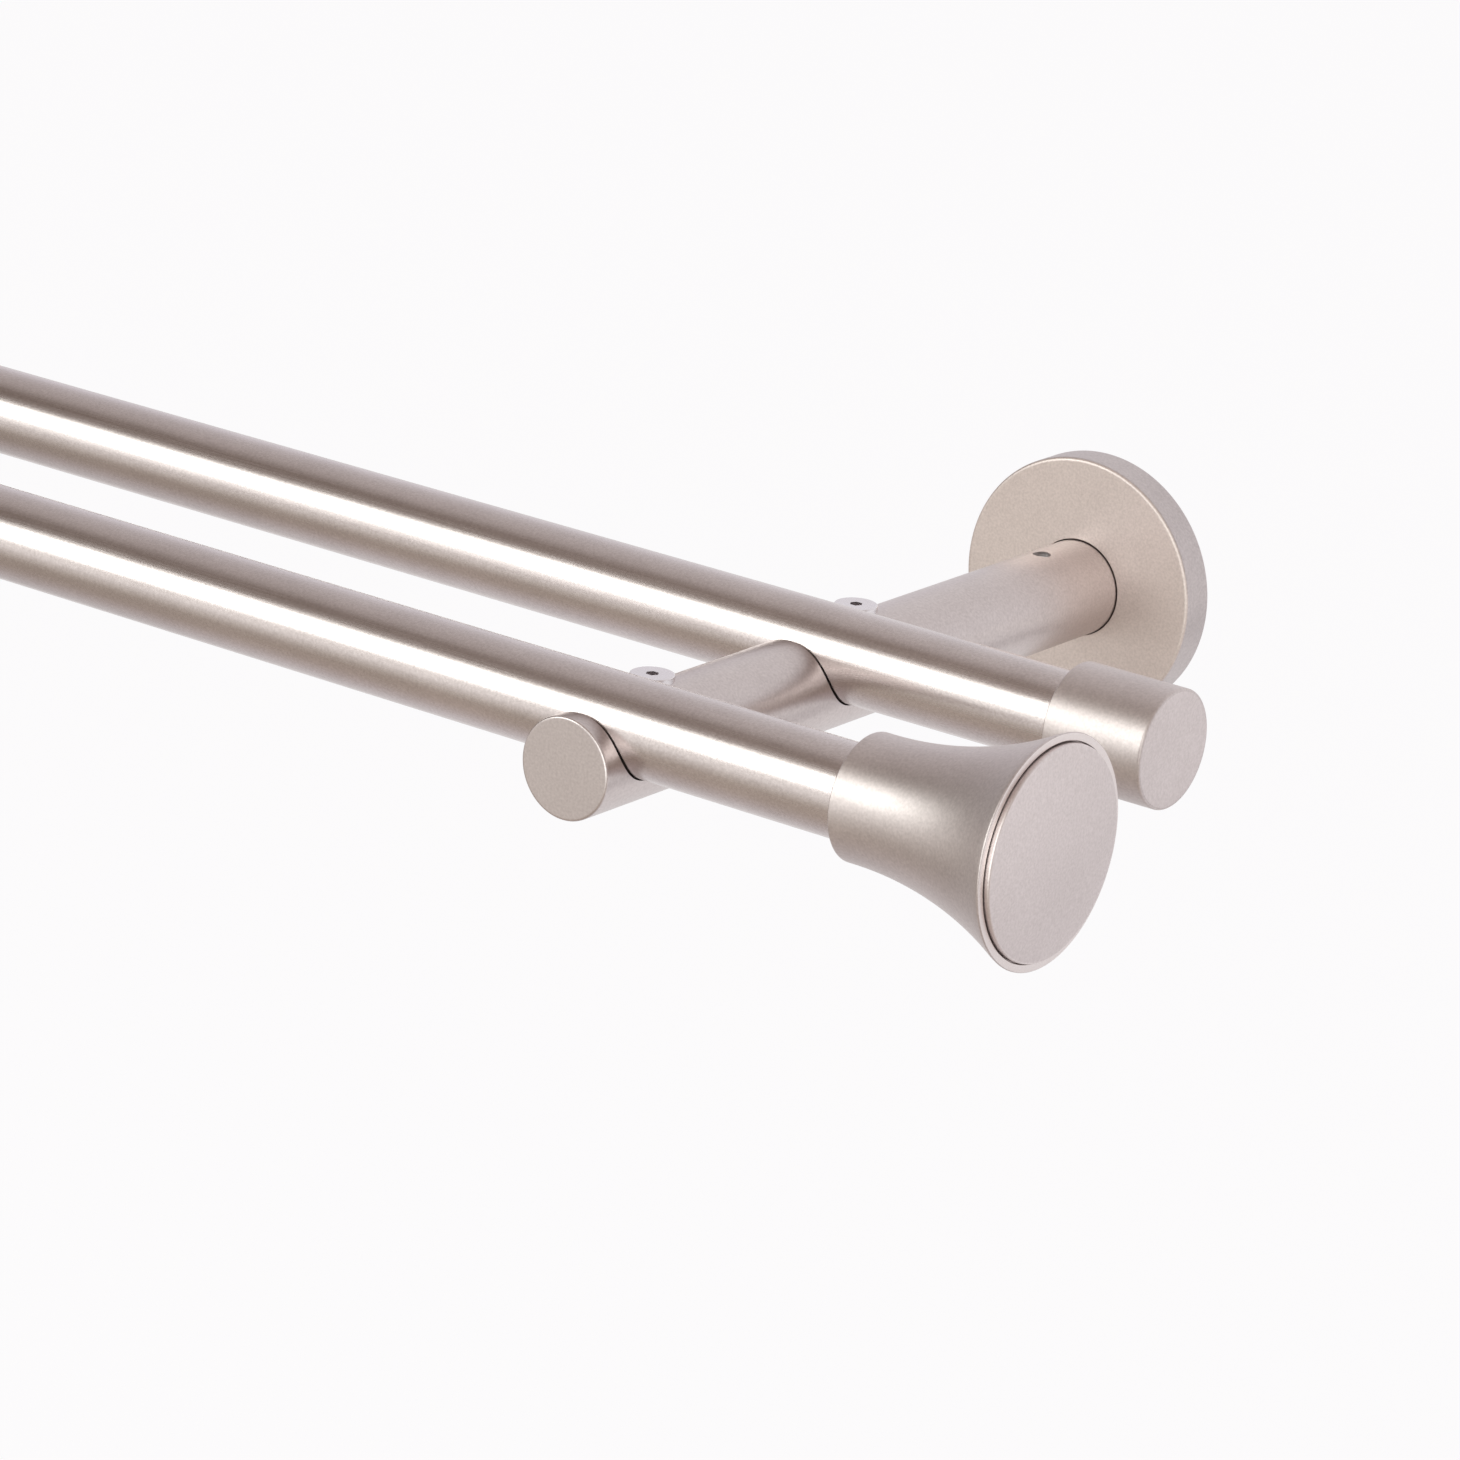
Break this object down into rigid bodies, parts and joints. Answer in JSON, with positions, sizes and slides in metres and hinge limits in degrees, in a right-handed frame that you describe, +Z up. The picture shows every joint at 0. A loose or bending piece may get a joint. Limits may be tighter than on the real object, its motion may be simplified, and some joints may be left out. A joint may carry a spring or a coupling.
{
  "type": "double curtain rod",
  "caption": "Double curtain rod: parallel round tubes clamped in notched wall bracket arms, trumpet finials on the front tube, plain caps on the rear tube.",
  "frame": {"origin": "on the wall, midway between the brackets, at the height of the bracket arms' axis", "axes": "+X along the rods, +Y into the wall, so the room is towards -Y, +Z up"},
  "size_m": [1.0454, 0.2046, 0.0616],
  "materials": {
    "satin_nickel": "satin nickel plate, fine matt grain",
    "zinc_plated_steel": "bright zinc plate"
  },
  "bodies": {
    "root": {"front_rod": "satin_nickel", "rear_rod": "satin_nickel", "left_wall_cover": "satin_nickel", "left_arm": "satin_nickel", "left_finial_body": "satin_nickel", "left_finial_disc": "satin_nickel", "left_end_cap": "satin_nickel", "right_wall_cover": "satin_nickel", "right_arm": "satin_nickel", "right_finial_body": "satin_nickel", "right_finial_disc": "satin_nickel", "right_end_cap": "satin_nickel", "clamp_screws": "satin_nickel", "left_wall_plate": "zinc_plated_steel", "left_spigot": "zinc_plated_steel", "right_wall_plate": "zinc_plated_steel", "right_spigot": "zinc_plated_steel", "plate_screws": "zinc_plated_steel", "arm_grub_screws": "zinc_plated_steel", "finial_grub_screws": "zinc_plated_steel", "cap_grub_screws": "zinc_plated_steel"}
  },
  "joints": []
}
